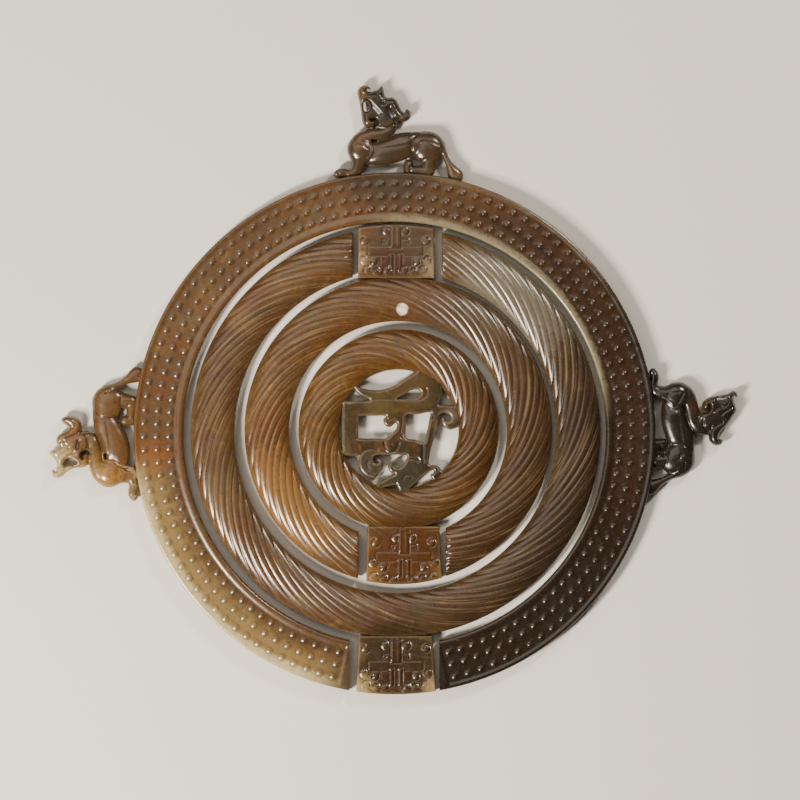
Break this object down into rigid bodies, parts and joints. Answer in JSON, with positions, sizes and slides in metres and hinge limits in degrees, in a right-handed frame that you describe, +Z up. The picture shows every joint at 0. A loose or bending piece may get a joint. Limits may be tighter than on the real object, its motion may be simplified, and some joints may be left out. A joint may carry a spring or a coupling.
{
  "type": "nested jade bi disc",
  "caption": "Flat disc of nested carved jade rings with grain bosses, twisted-rope rings, mask tabs, rim beasts and a pierced centre panel.",
  "frame": {"origin": "middle of the object's box, on the surface it lies on", "axes": "+Z up out of the carved face, +Y towards the beast opposite the outer ring's opening, +X along the longest extent, between the other beasts"},
  "size_m": [0.2638, 0.2334, 0.008],
  "materials": {
    "outer_jade": "polished brown nephrite, pale cream at the lower left rim",
    "second_jade": "polished brown nephrite, silvery grey at the upper right",
    "third_jade": "polished brown nephrite with a white fleck",
    "inner_jade": "polished golden brown nephrite"
  },
  "bodies": {
    "root": {"outer_ring": "outer_jade", "second_ring": "second_jade", "third_ring": "third_jade", "inner_ring": "inner_jade"}
  },
  "joints": []
}
